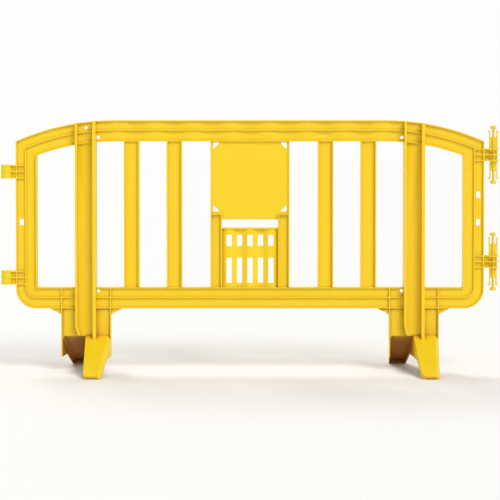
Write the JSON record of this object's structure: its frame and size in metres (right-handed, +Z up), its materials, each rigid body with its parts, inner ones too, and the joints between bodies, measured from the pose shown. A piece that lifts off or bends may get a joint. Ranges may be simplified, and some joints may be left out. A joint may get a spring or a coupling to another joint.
{
  "type": "pedestrian barrier",
  "caption": "Interlocking moulded plastic pedestrian barrier: slatted panel with a sign plate and vents, hollow nesting legs, link sockets on one end and turning snap pins on the other.",
  "frame": {"origin": "on the ground, under the middle of the panel", "axes": "+Z up, +X along the panel from the socket end to the pin end, -Y to the front, which is the side whose legs reach forward from the right half of each post"},
  "size_m": [1.994, 0.536, 1.005],
  "materials": {
    "barrier_plastic": "satin",
    "pin_plastic": "satin"
  },
  "bodies": {
    "barrier": {"top_rail": "barrier_plastic", "bottom_rail": "barrier_plastic", "left_end_stile": "barrier_plastic", "right_end_stile": "barrier_plastic", "left_post": "barrier_plastic", "right_post": "barrier_plastic", "left_front_leg": "barrier_plastic", "left_rear_leg": "barrier_plastic", "right_front_leg": "barrier_plastic", "right_rear_leg": "barrier_plastic", "slat_1": "barrier_plastic", "slat_2": "barrier_plastic", "slat_3": "barrier_plastic", "slat_4": "barrier_plastic", "sign_panel": "barrier_plastic", "left_vent_post": "barrier_plastic", "right_vent_post": "barrier_plastic", "vent_panel": "barrier_plastic", "upper_socket": "barrier_plastic", "lower_socket": "barrier_plastic", "upper_bracket": "barrier_plastic", "lower_bracket": "barrier_plastic"},
    "upper_link_pin": {"upper_link_pin": "pin_plastic"},
    "upper_pin_snap_arm_1": {"upper_pin_snap_arm_1": "pin_plastic"},
    "upper_pin_snap_arm_2": {"upper_pin_snap_arm_2": "pin_plastic"},
    "upper_pin_snap_arm_3": {"upper_pin_snap_arm_3": "pin_plastic"},
    "upper_pin_snap_arm_4": {"upper_pin_snap_arm_4": "pin_plastic"},
    "lower_link_pin": {"lower_link_pin": "pin_plastic"},
    "lower_pin_snap_arm_1": {"lower_pin_snap_arm_1": "pin_plastic"},
    "lower_pin_snap_arm_2": {"lower_pin_snap_arm_2": "pin_plastic"},
    "lower_pin_snap_arm_3": {"lower_pin_snap_arm_3": "pin_plastic"},
    "lower_pin_snap_arm_4": {"lower_pin_snap_arm_4": "pin_plastic"}
  },
  "joints": [
    {"name": "upper_pin_turn", "type": "hinge", "parent": "barrier", "child": "upper_link_pin", "pos_m": [0.973, 0, 0.867], "axis": [0, 0, 1], "continuous": true},
    {"name": "upper_pin_snap_arm_1_flex", "type": "hinge", "parent": "upper_link_pin", "child": "upper_pin_snap_arm_1", "pos_m": [0.958, 0, 0.938], "axis": [0, 1, 0], "range_deg": [0, 8], "stiffness_Nm_per_rad": 2},
    {"name": "upper_pin_snap_arm_2_flex", "type": "hinge", "parent": "upper_link_pin", "child": "upper_pin_snap_arm_2", "pos_m": [0.988, 0, 0.938], "axis": [0, -1, 0], "range_deg": [0, 8], "stiffness_Nm_per_rad": 2},
    {"name": "upper_pin_snap_arm_3_flex", "type": "hinge", "parent": "upper_link_pin", "child": "upper_pin_snap_arm_3", "pos_m": [0.96, 0, 0.802], "axis": [0, -1, 0], "range_deg": [0, 8], "stiffness_Nm_per_rad": 2},
    {"name": "upper_pin_snap_arm_4_flex", "type": "hinge", "parent": "upper_link_pin", "child": "upper_pin_snap_arm_4", "pos_m": [0.986, 0, 0.802], "axis": [0, 1, 0], "range_deg": [0, 8], "stiffness_Nm_per_rad": 2},
    {"name": "lower_pin_turn", "type": "hinge", "parent": "barrier", "child": "lower_link_pin", "pos_m": [0.973, 0, 0.44], "axis": [0, 0, 1], "continuous": true},
    {"name": "lower_pin_snap_arm_1_flex", "type": "hinge", "parent": "lower_link_pin", "child": "lower_pin_snap_arm_1", "pos_m": [0.958, 0, 0.511], "axis": [0, 1, 0], "range_deg": [0, 8], "stiffness_Nm_per_rad": 2},
    {"name": "lower_pin_snap_arm_2_flex", "type": "hinge", "parent": "lower_link_pin", "child": "lower_pin_snap_arm_2", "pos_m": [0.988, 0, 0.511], "axis": [0, -1, 0], "range_deg": [0, 8], "stiffness_Nm_per_rad": 2},
    {"name": "lower_pin_snap_arm_3_flex", "type": "hinge", "parent": "lower_link_pin", "child": "lower_pin_snap_arm_3", "pos_m": [0.96, 0, 0.375], "axis": [0, -1, 0], "range_deg": [0, 8], "stiffness_Nm_per_rad": 2},
    {"name": "lower_pin_snap_arm_4_flex", "type": "hinge", "parent": "lower_link_pin", "child": "lower_pin_snap_arm_4", "pos_m": [0.986, 0, 0.375], "axis": [0, 1, 0], "range_deg": [0, 8], "stiffness_Nm_per_rad": 2}
  ]
}
